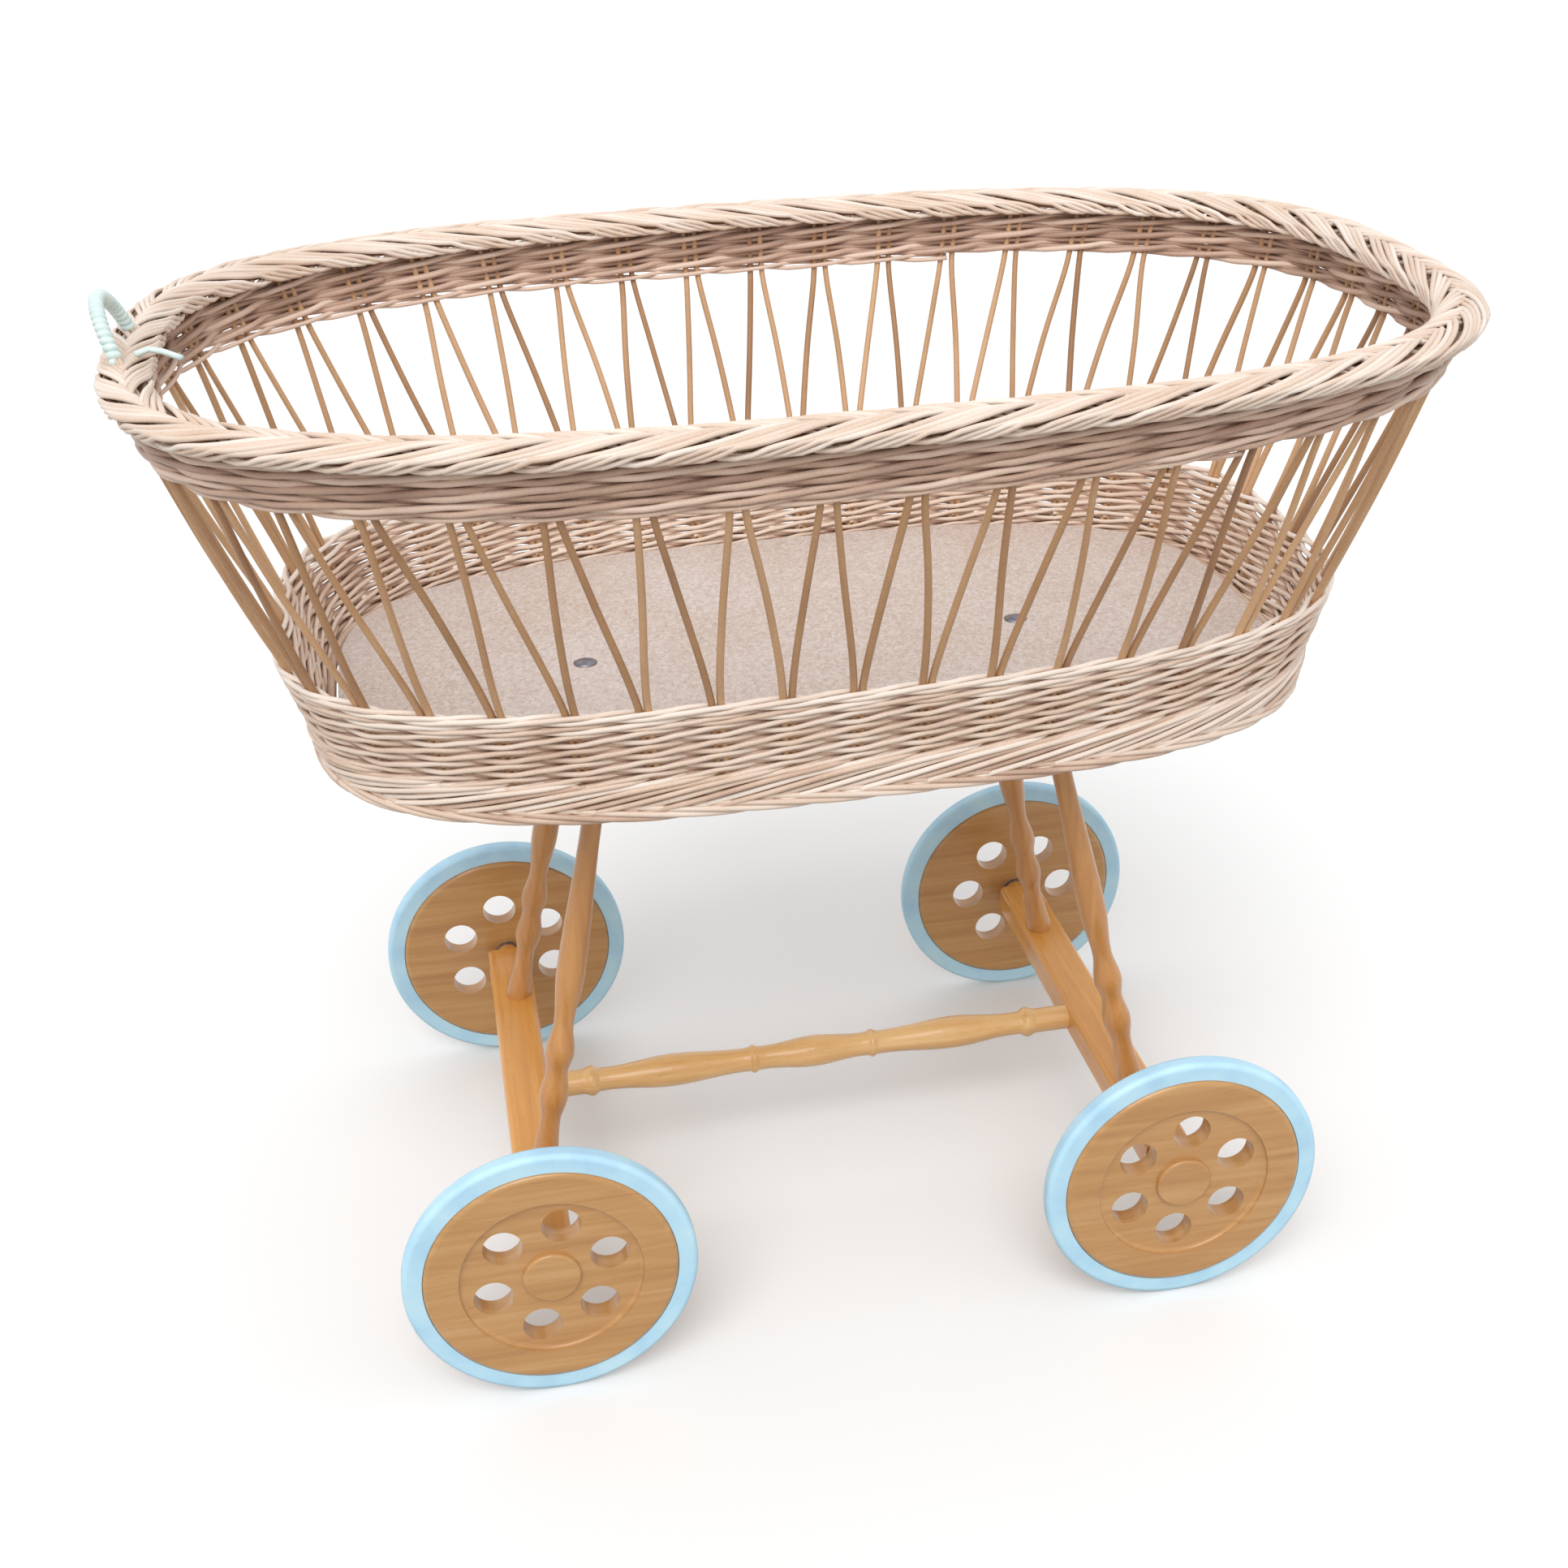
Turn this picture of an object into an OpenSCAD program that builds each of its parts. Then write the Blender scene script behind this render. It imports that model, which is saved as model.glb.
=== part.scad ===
// Oval willow bassinet on a turned wooden stand with four rubber-tyred wooden wheels.
// Millimetres, +Z up, the ground is Z = 0 and the origin is under the middle of the basket.
// X runs along the basket: the bound handle is at its rear end (-X). Left is +Y.

/* [Basket] */
// Half length of the wicker wall at its foot
foot_a = 328; // [310:1:340]
// Half width of the wicker wall at its foot
foot_b = 199; // [185:1:210]
// Height of the foot's underside above the ground
foot_z = 430; // [425:1:436]
// Height of the foot border
foot_h = 30; // [26:1:34]
// Half length of the lower weave's top row
low_a = 354; // [345:1:365]
// Half width of the lower weave's top row
low_b = 210; // [200:1:220]
// Height of the lower weave's top row above the ground
low_z = 508; // [500:1:515]
// Half length of the upper weave
up_a = 413; // [400:1:420]
// Half width of the upper weave
up_b = 265; // [255:1:272]
// Height of the upper weave's bottom row above the ground
up_z = 652; // [645:1:660]
// Half length of the plaited border, at the middle of the plait
rim_a = 418; // [412:1:424]
// Half width of the plaited border, at the middle of the plait
rim_b = 271; // [265:1:277]
// Height of the middle of the plaited border above the ground
rim_z = 690; // [686:1:695]
// Width of the plaited border
rim_w = 34; // [28:1:38]
// Thickness of the plaited border
rim_t = 17; // [14:1:19]
// Thickness of the woven wall
weave_t = 12; // [10:1:14]

/* [Stakes] */
// Pairs of stakes around the basket
pair_count = 45; // [40:1:50]
// Thickness of one stake
stake_d = 5.2; // [4:0.2:6]
// Distance between the two stakes of a pair
pair_gap = 7; // [6.6:0.2:11]
// Shift of the first pair along the border from the front end
stake_phase = -2; // [-24:1:24]

/* [Floor board] */
// Thickness of the particle board floor
board_t = 10; // [8:1:12]
// Height of the board's underside above the foot
board_lift = 14; // [13:1:16]
// Distance of the board's bolts from the long axis
bolt_y = -9; // [-12:1:12]

/* [Handle] */
// Radius of the handle's arch, at the middle of its rods
handle_r = 40.5; // [34:0.5:44]
// Thickness of the handle with its binding
handle_d = 9.4; // [8.4:0.2:11]
// Outward lean of the handle
handle_lean = 20; // [10:1:22]
// Distance of the handle's middle from the long axis
handle_y = -14; // [-20:1:20]

/* [Stand] */
// Distance between the front and rear axles
wheel_base = 447; // [430:1:465]
// Length of a cross-bar
bar_l = 375; // [370:1:378]
// Width of a cross-bar
bar_w = 34; // [30:1:36]
// Height of a cross-bar
bar_h = 24; // [22:1:28]
// Distance of the leg tops from the cross line through the middle
leg_top_x = 153.5; // [145:0.5:165]
// Distance of the leg tops from the long axis
leg_top_y = 87; // [80:1:95]
// Distance of the leg feet from the long axis
leg_foot_y = 117; // [110:1:122]
// Length of a top rail
rail_l = 220; // [212:1:240]
// Height of a top rail
rail_h = 22; // [20:1:26]

/* [Wheels] */
// Diameter over the tyre
wheel_d = 200; // [196:1:206]
// Diameter of the wooden disc
disc_d = 173; // [170:1:175]
// Thickness of the wooden disc
disc_t = 17; // [16:0.5:18]
// Distance between the outer faces of a pair of wheels
wheel_span = 439; // [437:1:445]
// Diameter of the dished middle of the disc
dish_d = 125; // [118:1:130]
// Diameter of the six holes
hole_d = 27; // [24:1:29]
// Diameter of the circle that the six holes lie on
hole_circle_d = 84; // [80:1:88]
// Diameter of the axle bolt's shank
axle_d = 8; // [7:0.5:9]
// How far the rear left wheel stands turned about its axle
rear_left_turn = 35; // [0:1:59]
// How far the rear right wheel stands turned about its axle
rear_right_turn = 17; // [0:1:59]
// How far the front left wheel stands turned about its axle
front_left_turn = 0; // [0:1:59]
// How far the front right wheel stands turned about its axle
front_right_turn = 24; // [0:1:59]

/* [Hidden] */
$fn = 48;
foot_n = 3.2;          // squareness of the oval at the foot: 2 is an ellipse
low_n = 3.2;
up_n = 2.7;
rim_n = 2.95;
stations = 96;         // corners of each oval
easing_steps = 6;      // cones between two neighbouring sizes of a turned part

axle_z = wheel_d / 2;
axle_x = wheel_base / 2;
bar_top = axle_z + bar_h / 2;
board_z = foot_z + board_lift;
board_edge = 7;        // distance of the board's edge inside the middle of the wall
rail_z = board_z - rail_h;
ledge_w = 9;           // width of the foot rods turned under the board
foot_flare = 8;        // how far the foot border stands out from the wall's middle
handle_x = -(rim_a - 2);
core_d = handle_d - 3; // bundle of rods inside the handle's binding
bury = 5;              // how far a stake or a handle foot runs into the weave

leg_foot_r = 10.2;
leg_top_r = 7.4;
socket_depth = 14;
leg_foot_in = 3.5;     // how far a leg's foot stands inside the middle of its cross-bar
leg_run = [axle_x - leg_foot_in - leg_top_x, leg_foot_y - leg_top_y, bar_top - rail_z];
leg_len = norm(leg_run);
// Turned profile of a leg: distance from its top and radius there
leg_turns = [
    [0, leg_top_r], [45, 6.9], [162, 10], [200, 7], [223, 10.2],
    [238, 7.7], [257, 10.3], [277, 7.2], [leg_len, leg_foot_r]
];

stretcher_half = axle_x - bar_w / 2;
stretcher_end_r = 9.6;
tenon_r = 6.5;
// Turned profile of half the stretcher: distance from its middle and radius there
stretcher_turns = [
    [0, 12.2], [38, 9.2], [43, 9.4], [47, 11], [51, 9.4], [56, 9.2], [112, 12.6],
    [160, 8.8], [167, 9], [173, 11.8], [181, 9.6], [185, stretcher_end_r],
    [stretcher_half, stretcher_end_r]
];

bolt_r = 3;
bolt_head_r = 7.8;
bolt_head_h = 3.4;
bolt_hole_r = 3.3;
bolt_seat = 1.2;       // depth of the seat that the bolt's head sits in
seat_r = 8.3;
nut_h = 5;
nut_across_corners = 11.5;
nut_washer_r = 9;
nut_washer_t = 1.6;

// Distances along a wheel's axis are measured outwards from the disc's inner face
disc_r = disc_d / 2;
tyre_r = wheel_d / 2;
axle_r = axle_d / 2;
inner_face_y = wheel_span / 2 - disc_t;
bar_end = bar_l / 2 - inner_face_y;
dish_depth = 3.2;
edge_round = 4;
groove_depth = 2.5;
groove_w = 8;
tyre_w = 13;
shoulder_r = 4;
pocket_r = 12.5;
pocket_floor = 8.4;
bush_r = 7;
bush_flange_r = 10;
bush_flange_t = 1.5;
running_gap = 0.08;
end_gap = 0.3;
washer_t = 1.5;
washer_bore_r = axle_r + 0.2;
washer_r = 11;
head_washer_r = 9.5;
spacer_r = 9;
axle_head_r = 6.5;
axle_head_h = 3;
axle_grip = 48;        // length of axle bolt screwed into the cross-bar
cap_r = 19.7;
cap_t = 3.6;
cap_round = 2;
cap_spigot_t = 2;
cap_spigot_wall = 2;

wood = "#C89A66";
wood_dark = "#B5854F";
willow = "#D9B893";
willow_dark = "#B98A5E";
rubber = "#C4E0F4";
steel = "#A9ABB0";
white_cane = "#E2F3F4";
board_colour = "#C9A98E";

// --- Oval outlines -------------------------------------------------------------------------

// Point of the squared oval |x/a|^n + |y/b|^n = 1 in direction t
function oval_point(a, b, n, t) =
    let (r = pow(pow(abs(cos(t)) / a, n) + pow(abs(sin(t)) / b, n), -1 / n))
    [r * cos(t), r * sin(t)];
function oval(a, b, n) = [for (i = [0:stations - 1]) oval_point(a, b, n, 360 * i / stations)];

// Table of [distance along the oval, turning angle], for even spacing around it
function oval_table(a, b, n) = [
    for (i = 0, s = 0; i <= 360; s = s + norm(oval_point(a, b, n, i + 1) - oval_point(a, b, n, i)), i = i + 1)
        [s, i]
];
function oval_length(table) = table[len(table) - 1][0];
function wrapped(s, whole) = s - whole * floor(s / whole);
function oval_at(a, b, n, table, s) =
    oval_point(a, b, n, lookup(wrapped(s, oval_length(table)), table));

// Ring whose section has its corners on ovals, each given as [half length, half width, n, z].
// The corners go round the section anticlockwise, seen with the ring's outside on the right.
module oval_ring(corners) {
    m = len(corners);
    points = [
        for (i = [0:stations - 1])
            for (c = corners)
                let (p = oval_point(c[0], c[1], c[2], 360 * i / stations))
                [p[0], p[1], c[3]]
    ];
    faces = [
        for (i = [0:stations - 1])
            for (k = [0:m - 1])
                let (j = (i + 1) % stations, l = (k + 1) % m)
                for (half = [0, 1])
                    half == 0 ? [i * m + k, i * m + l, j * m + l] : [i * m + k, j * m + l, j * m + k]
    ];
    polyhedron(points = points, faces = faces, convexity = 4);
}

function wall_corner(a, b, n, z, out) = [a + out, b + out, n, z];

// --- Turned wood ---------------------------------------------------------------------------

// Points of a turned profile: a soft S between each two sizes
function eased(turns) = [
    for (i = [0:len(turns) - 2])
        for (j = [0:easing_steps - 1])
            let (u = j / easing_steps, e = (1 - cos(180 * u)) / 2)
            [turns[i][1] + (turns[i + 1][1] - turns[i][1]) * e, turns[i][0] + (turns[i + 1][0] - turns[i][0]) * u]
];

module turned(turns, bottom_tenon_r, bottom_tenon_l) {
    top = turns[len(turns) - 1];
    rotate_extrude()
        polygon(concat([[0, 0]], eased(turns), [[top[1], top[0]], [0, top[0]]]));
    if (bottom_tenon_l > 0)
        translate([0, 0, top[0]])
            cylinder(r = bottom_tenon_r, h = bottom_tenon_l);
}

// Puts Z along a leg, from its top at the rail to its foot in the cross-bar
module along_leg(front, left) {
    heading = atan2(left * leg_run[1], front * leg_run[0]);
    lean = acos(leg_run[2] / leg_len);
    translate([front * leg_top_x, left * leg_top_y, rail_z])
        rotate([0, 0, heading])
            rotate([0, lean, 0])
                children();
}

module leg(front, left) {
    color(wood)
        along_leg(front, left) {
            turned(leg_turns, leg_foot_r, socket_depth);
            translate([0, 0, -socket_depth])
                cylinder(r = leg_top_r, h = socket_depth);
        }
}

module stretcher() {
    color(wood)
        for (side = [0, 180])
            translate([0, 0, axle_z])
                rotate([0, 0, side])
                    rotate([0, 90, 0])
                        turned(stretcher_turns, tenon_r, socket_depth);
}

// --- Stand bars ----------------------------------------------------------------------------

module rounded_rect(w, h, r) {
    square([w - 2 * r, h], center = true);
    square([w, h - 2 * r], center = true);
    for (x = [-1, 1])
        for (y = [-1, 1])
            translate([x * (w / 2 - r), y * (h / 2 - r)])
                circle(r = r);
}

module bar(w, h, l, r) {
    rotate([90, 0, 0])
        linear_extrude(height = l, center = true)
            rounded_rect(w, h, r);
}

module crossbar(front) {
    color(wood_dark)
        difference() {
            translate([front * axle_x, 0, axle_z])
                bar(bar_w, bar_h, bar_l, edge_round);
            for (left = [-1, 1]) {
                along_leg(front, left)
                    cylinder(r = leg_foot_r, h = leg_len + socket_depth);
                translate([front * axle_x, left * bar_l / 2, axle_z])
                    rotate([90 * left, 0, 0])
                        cylinder(r = axle_r, h = axle_grip);
            }
            translate([0, 0, axle_z])
                rotate([0, 90 * front, 0])
                    cylinder(r = tenon_r, h = stretcher_half + socket_depth);
        }
}

module top_rail(front) {
    color(wood_dark)
        difference() {
            translate([front * leg_top_x, 0, rail_z + rail_h / 2])
                bar(bar_w, rail_h, rail_l, edge_round);
            for (left = [-1, 1])
                along_leg(front, left)
                    translate([0, 0, -socket_depth])
                        cylinder(r = leg_top_r, h = leg_len);
            translate([front * leg_top_x, bolt_y, rail_z - 1])
                cylinder(r = bolt_hole_r, h = rail_h + 2);
        }
}

// --- Floor board and its bolts -------------------------------------------------------------

module base_board() {
    color(board_colour)
        difference() {
            translate([0, 0, board_z])
                linear_extrude(height = board_t)
                    polygon(oval(foot_a - board_edge, foot_b - board_edge, foot_n));
            for (front = [-1, 1])
                translate([front * leg_top_x, bolt_y, board_z - 1]) {
                    cylinder(r = bolt_hole_r, h = board_t + 2);
                    translate([0, 0, board_t + 1 - bolt_seat])
                        cylinder(r = seat_r, h = 1 + bolt_seat);
                }
        }
}

module at_bolts() {
    for (front = [-1, 1])
        translate([front * leg_top_x, bolt_y, 0])
            children();
}

module board_bolts() {
    shank_z = rail_z - nut_washer_t - nut_h - 2;
    head_z = board_z + board_t - bolt_seat;
    color(steel)
        at_bolts() {
            translate([0, 0, shank_z])
                cylinder(r = bolt_r, h = head_z - shank_z);
            translate([0, 0, head_z])
                rotate_extrude()
                    polygon([
                        [0, 0], [bolt_head_r, 0],
                        for (a = [10:16:90]) [bolt_head_r * cos(a), 0.8 + (bolt_head_h - 0.8) * sin(a)]
                    ]);
        }
}

module board_washers() {
    color(steel)
        at_bolts()
            translate([0, 0, rail_z - nut_washer_t])
                ring(bolt_hole_r, nut_washer_r, nut_washer_t);
}

module board_nuts() {
    color(steel)
        at_bolts()
            translate([0, 0, rail_z - nut_washer_t - nut_h])
                difference() {
                    cylinder(d = nut_across_corners, h = nut_h, $fn = 6);
                    translate([0, 0, -1])
                        cylinder(r = bolt_r, h = nut_h + 2);
                }
}

module ring(inner_r, outer_r, h) {
    difference() {
        cylinder(r = outer_r, h = h);
        translate([0, 0, -1])
            cylinder(r = inner_r, h = h + 2);
    }
}

// --- Wicker --------------------------------------------------------------------------------

// Corner of the wall between the foot and the lower weave's top row, at height z
function low_wall(z, out) =
    let (u = (z - foot_z) / (low_z - foot_z))
    wall_corner(foot_a + (low_a - foot_a) * u, foot_b + (low_b - foot_b) * u, foot_n, z, out);

// Solid ring of the foot border, with the rods that turn in under the board
module foot_border() {
    top = foot_z + foot_h;
    half = weave_t / 2;
    color(willow)
        oval_ring([
            wall_corner(foot_a, foot_b, foot_n, foot_z, -board_edge - ledge_w),
            wall_corner(foot_a, foot_b, foot_n, foot_z, foot_flare - 3),
            low_wall(foot_z + foot_h * 0.4, foot_flare),
            low_wall(top, half),
            low_wall(top, -half),
            wall_corner(foot_a, foot_b, foot_n, board_z, -half),
            wall_corner(foot_a, foot_b, foot_n, board_z, -board_edge - ledge_w)
        ]);
}

module lower_weave() {
    half = weave_t / 2;
    color(willow)
        oval_ring([
            low_wall(foot_z + foot_h, -half),
            low_wall(foot_z + foot_h, half),
            low_wall(low_z, half),
            low_wall(low_z, -half)
        ]);
}

module upper_weave() {
    half = weave_t / 2;
    top = rim_z - rim_t / 2;
    color(willow_dark)
        oval_ring([
            wall_corner(up_a, up_b, up_n, up_z, -half),
            wall_corner(up_a, up_b, up_n, up_z, half),
            wall_corner(rim_a, rim_b, rim_n, top, half - 2),
            wall_corner(rim_a, rim_b, rim_n, top, -half - 2)
        ]);
}

module top_border() {
    w = rim_w / 2;
    t = rim_t / 2;
    color(willow)
        oval_ring([
            for (c = [[-0.6, -1], [0.6, -1], [1, -0.4], [1, 0.4], [0.6, 1], [-0.6, 1], [-1, 0.4], [-1, -0.4]])
                wall_corner(rim_a, rim_b, rim_n, rim_z + c[1] * t, c[0] * w)
        ]);
}

low_table = oval_table(low_a, low_b, low_n);
up_table = oval_table(up_a, up_b, up_n);

// Last pair of each side's group, as shares of all the pairs counted leftwards from the front end
front_last = round(0.11 * pair_count);
left_last = round(0.36 * pair_count);
rear_last = round(0.62 * pair_count);
right_last = round(0.87 * pair_count);

// Foot of a stake beside bottom pair number i, and its head beside top pair number i
function stake_foot(i, side) =
    let (
        whole = oval_length(low_table),
        p = oval_at(low_a, low_b, low_n, low_table, i * whole / pair_count + stake_phase + side * pair_gap / 2)
    )
    [p[0], p[1], low_z];
function stake_head(i, side) =
    let (
        whole = oval_length(up_table),
        p = oval_at(up_a, up_b, up_n, up_table, i * whole / pair_count + stake_phase + side * pair_gap / 2)
    )
    [p[0], p[1], up_z];

// Round rod from one point to another, run on past both by the same length
module rod(from, to, d, more) {
    run = to - from;
    translate(from)
        rotate([0, acos(run[2] / norm(run)), atan2(run[1], run[0])])
            translate([0, 0, -more])
                cylinder(d = d, h = norm(run) + 2 * more);
}

// The two stakes of each top pair part downwards, one to the bottom pair on either side
module stakes(first, last) {
    color(willow_dark)
        for (i = [first:last])
            for (side = [-1, 1])
                rod(stake_foot(i + side / 2, -side), stake_head(i, side), stake_d, bury);
}

// --- Handle --------------------------------------------------------------------------------

module at_handle() {
    translate([handle_x, handle_y, rim_z])
        rotate([0, -handle_lean, 0])
            rotate([90, 0, 90])
                children();
}

module arch(inner_r, outer_r, from, to) {
    rotate([0, 0, from])
        rotate_extrude(angle = to - from)
            translate([handle_r, 0])
                difference() {
                    circle(r = outer_r);
                    if (inner_r > 0)
                        circle(r = inner_r);
                }
}

module handle_core() {
    color(willow)
        at_handle()
            arch(0, core_d / 2, 0, 180);
}

// The binding stops where the arch enters the border
module handle_binding() {
    buried = asin(rim_t / 2 / handle_r) + 3;
    color(white_cane)
        at_handle()
            arch(core_d / 2, handle_d / 2, buried, 180 - buried);
}

// --- Wheels --------------------------------------------------------------------------------

// Puts Z along a wheel's axis, outwards from the disc's inner face
module at_wheel(front, left) {
    translate([front * axle_x, left * inner_face_y, axle_z])
        rotate([-90 * left, 0, 0])
            children();
}

// Turn of a wheel at rest, from +X towards +Z
function left_turn(front) = front > 0 ? front_left_turn : rear_left_turn;
function right_turn(front) = front > 0 ? front_right_turn : rear_right_turn;
function rest_turn(front, left) = left > 0 ? -left_turn(front) : right_turn(front);

module disc(front, left) {
    color(wood)
        at_wheel(front, left)
            difference() {
                rotate_extrude($fn = 96)
                    disc_section();
                for (k = [0:5])
                    rotate([0, 0, 60 * k + rest_turn(front, left)])
                        translate([hole_circle_d / 2, 0, -1])
                            cylinder(d = hole_d, h = disc_t + 2);
            }
}

// Half section: rounded rim with the tyre's groove, dished face, hub pocket and bush bore
module disc_section() {
    floor_z = disc_t - dish_depth;
    difference() {
        union() {
            square([disc_r - edge_round, disc_t]);
            translate([0, edge_round])
                square([disc_r, disc_t - 2 * edge_round]);
            for (z = [edge_round, disc_t - edge_round])
                translate([disc_r - edge_round, z])
                    circle(r = edge_round);
        }
        translate([disc_r - groove_depth, (disc_t - groove_w) / 2])
            square([groove_depth + 1, groove_w]);
        translate([-1, floor_z])
            square([dish_d / 2 - dish_depth + 1, dish_depth + 1]);
        translate([dish_d / 2 - dish_depth, disc_t])
            circle(r = dish_depth);
        translate([-1, pocket_floor])
            square([pocket_r + 1, disc_t]);
        translate([-1, -1])
            square([bush_r + 1, disc_t]);
    }
}

module tyre(front, left) {
    mid = disc_t / 2;
    color(rubber)
        at_wheel(front, left)
            rotate_extrude($fn = 96)
                intersection() {
                    union() {
                        translate([disc_r - groove_depth, mid - groove_w / 2])
                            square([groove_depth + 1, groove_w]);
                        translate([disc_r, mid - tyre_w / 2])
                            square([tyre_r - disc_r - shoulder_r, tyre_w]);
                        translate([disc_r, mid - tyre_w / 2 + shoulder_r])
                            square([tyre_r - disc_r, tyre_w - 2 * shoulder_r]);
                        for (side = [-1, 1])
                            translate([tyre_r - shoulder_r, mid + side * (tyre_w / 2 - shoulder_r)])
                                circle(r = shoulder_r);
                    }
                    square([tyre_r + 1, disc_t]);
                }
}

module bush(front, left) {
    color("white")
        at_wheel(front, left)
            difference() {
                union() {
                    cylinder(r = bush_r, h = pocket_floor);
                    translate([0, 0, -bush_flange_t])
                        cylinder(r = bush_flange_r, h = bush_flange_t);
                }
                translate([0, 0, -bush_flange_t - 1])
                    cylinder(r = axle_r + running_gap, h = disc_t);
            }
}

module hub_cap(front, left) {
    color(wood)
        at_wheel(front, left)
            translate([0, 0, disc_t - dish_depth]) {
                rotate_extrude() {
                    square([cap_r, cap_t - cap_round]);
                    square([cap_r - cap_round, cap_t]);
                    translate([cap_r - cap_round, cap_t - cap_round])
                        circle(r = cap_round, $fn = 24);
                }
                translate([0, 0, -cap_spigot_t])
                    ring(pocket_r - cap_spigot_wall, pocket_r, cap_spigot_t);
            }
}

module axle_bolt(front, left) {
    head_z = pocket_floor + end_gap + washer_t;
    color(steel)
        at_wheel(front, left) {
            translate([0, 0, bar_end - axle_grip])
                cylinder(r = axle_r, h = head_z - bar_end + axle_grip);
            translate([0, 0, head_z])
                cylinder(r = axle_head_r, h = axle_head_h);
        }
}

module spacer(front, left) {
    top = -bush_flange_t - end_gap - washer_t;
    color(wood_dark)
        at_wheel(front, left)
            translate([0, 0, bar_end])
                ring(washer_bore_r, spacer_r, top - bar_end);
}

module axle_washers() {
    color(steel)
        for (front = [-1, 1])
            for (left = [-1, 1])
                at_wheel(front, left) {
                    translate([0, 0, -bush_flange_t - end_gap - washer_t])
                        ring(washer_bore_r, washer_r, washer_t);
                    translate([0, 0, pocket_floor + end_gap])
                        ring(washer_bore_r, head_washer_r, washer_t);
                }
}

// --- Nodes ---------------------------------------------------------------------------------

base_board();
foot_border();
lower_weave();
stakes(right_last - pair_count + 1, front_last);  // front_stakes
stakes(front_last + 1, left_last);  // left_stakes
stakes(left_last + 1, rear_last);  // rear_stakes
stakes(rear_last + 1, right_last);  // right_stakes
upper_weave();
top_border();
handle_core();
handle_binding();
board_bolts();
board_washers();
board_nuts();
top_rail(-1);  // rear_top_rail
top_rail(1);  // front_top_rail
leg(-1, 1);  // rear_left_leg
leg(-1, -1);  // rear_right_leg
leg(1, 1);  // front_left_leg
leg(1, -1);  // front_right_leg
crossbar(-1);  // rear_crossbar
crossbar(1);  // front_crossbar
stretcher();
disc(-1, 1);  // rear_left_disc
disc(-1, -1);  // rear_right_disc
disc(1, 1);  // front_left_disc
disc(1, -1);  // front_right_disc
tyre(-1, 1);  // rear_left_tyre
tyre(-1, -1);  // rear_right_tyre
tyre(1, 1);  // front_left_tyre
tyre(1, -1);  // front_right_tyre
bush(-1, 1);  // rear_left_bush
bush(-1, -1);  // rear_right_bush
bush(1, 1);  // front_left_bush
bush(1, -1);  // front_right_bush
hub_cap(-1, 1);  // rear_left_hub_cap
hub_cap(-1, -1);  // rear_right_hub_cap
hub_cap(1, 1);  // front_left_hub_cap
hub_cap(1, -1);  // front_right_hub_cap
axle_bolt(-1, 1);  // rear_left_axle_bolt
axle_bolt(-1, -1);  // rear_right_axle_bolt
axle_bolt(1, 1);  // front_left_axle_bolt
axle_bolt(1, -1);  // front_right_axle_bolt
spacer(-1, 1);  // rear_left_spacer
spacer(-1, -1);  // rear_right_spacer
spacer(1, 1);  // front_left_spacer
spacer(1, -1);  // front_right_spacer
axle_washers();
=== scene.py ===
"""Looks of an oval willow bassinet on a turned wooden stand with four rubber-tyred wooden wheels.

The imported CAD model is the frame. Legs, bars, wheels and fasteners keep their CAD shapes and get
their finishes here. The wicker, which CAD holds as plain rings and straight stakes, is rebuilt rod
by rod: paired zig-zag stakes, a lower band of four- and three-rod wale, an upper band of three-rod
wale over a round of pairing, a foot border of swept rods and a plaited top border. Everything is in
metres. X runs along the basket, +Y is its left side and Z is up.
"""
import logging
import math
import random
from bisect import bisect_right
from dataclasses import dataclass, field
from enum import Enum
from typing import Any, Sequence

import bmesh
import bpy
from mathutils import Matrix, Vector


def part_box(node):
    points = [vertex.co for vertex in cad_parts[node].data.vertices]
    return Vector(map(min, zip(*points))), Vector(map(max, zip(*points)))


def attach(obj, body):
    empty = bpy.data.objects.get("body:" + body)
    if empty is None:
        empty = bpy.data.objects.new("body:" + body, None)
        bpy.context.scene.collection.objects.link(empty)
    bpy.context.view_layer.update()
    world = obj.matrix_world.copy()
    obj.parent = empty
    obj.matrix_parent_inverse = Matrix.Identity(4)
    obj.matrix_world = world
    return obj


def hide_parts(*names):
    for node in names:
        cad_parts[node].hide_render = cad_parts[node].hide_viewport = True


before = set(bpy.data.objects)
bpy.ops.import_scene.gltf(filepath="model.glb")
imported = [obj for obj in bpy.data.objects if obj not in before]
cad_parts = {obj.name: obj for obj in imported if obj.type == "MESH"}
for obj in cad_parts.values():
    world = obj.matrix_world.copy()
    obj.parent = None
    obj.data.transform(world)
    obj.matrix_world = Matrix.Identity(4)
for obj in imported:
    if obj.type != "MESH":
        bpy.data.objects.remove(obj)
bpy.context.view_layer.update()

MM = 0.001
FRAME_BODY = "frame"
SEED = 41
# Tones of the rods that only close gaps inside the weave, their darkness painted shade: deep in the
# gaps, and lighter beside lit rods.
GAP_SHADE_TONE = -0.6
SOFT_GAP_SHADE_TONE = 0.1
BOARD_GAP_SHADE_TONE = 0.2
LOG = logging.getLogger("bassinet")
Path = list[Vector]


# --- Colour, nodes and meshes ------------------------------------------------------------------


def linear(code: str) -> tuple[float, float, float, float]:
    """Turns an sRGB colour into a linear one.

    Args:
        code: Six hex digits, such as "C49267".

    Returns:
        Linear red, green and blue, and an alpha of 1.
    """
    parts = [int(code[i:i + 2], 16) / 255 for i in (0, 2, 4)]
    red, green, blue = [c / 12.92 if c <= 0.04045 else ((c + 0.055) / 1.055) ** 2.4 for c in parts]
    return red, green, blue, 1.0


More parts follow.
